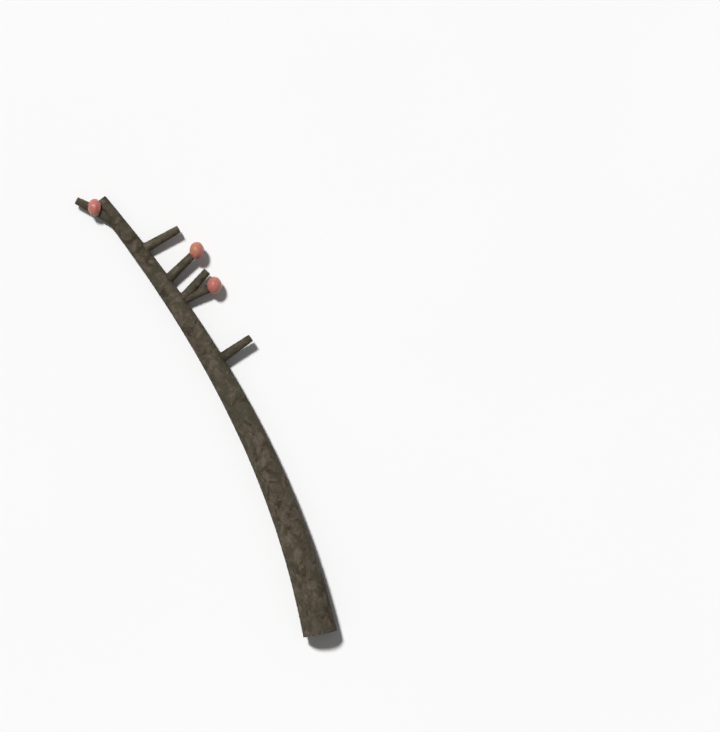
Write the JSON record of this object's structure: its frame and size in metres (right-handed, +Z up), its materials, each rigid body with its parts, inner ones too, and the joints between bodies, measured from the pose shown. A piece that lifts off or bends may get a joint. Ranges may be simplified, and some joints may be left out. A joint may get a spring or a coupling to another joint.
{
  "type": "fallen tree branch",
  "caption": "Bowed, tapering length of fallen branch lying on its side, with short cut-off side spurs and small round rosy fruits on some of them.",
  "frame": {"origin": "middle of the branch's footprint, on the surface that it lies on", "axes": "+X along the straight chord of the bowed limb, from the thick butt to the thin tip; +Y is the hollow side of the bow; +Z is up"},
  "size_m": [0.604, 0.1158, 0.041],
  "materials": {
    "limb_bark": "matte",
    "spur_bark": "matte",
    "fruit_skin": "satin"
  },
  "bodies": {
    "root": {"limb": "limb_bark", "end_twig": "spur_bark", "upper_spur": "spur_bark", "fruiting_spur": "spur_bark", "twin_spur_bare": "spur_bark", "twin_spur_fruiting": "spur_bark", "lower_spur": "spur_bark", "fork_fruit": "fruit_skin", "spur_fruit": "fruit_skin", "twin_fruit": "fruit_skin"}
  },
  "joints": []
}
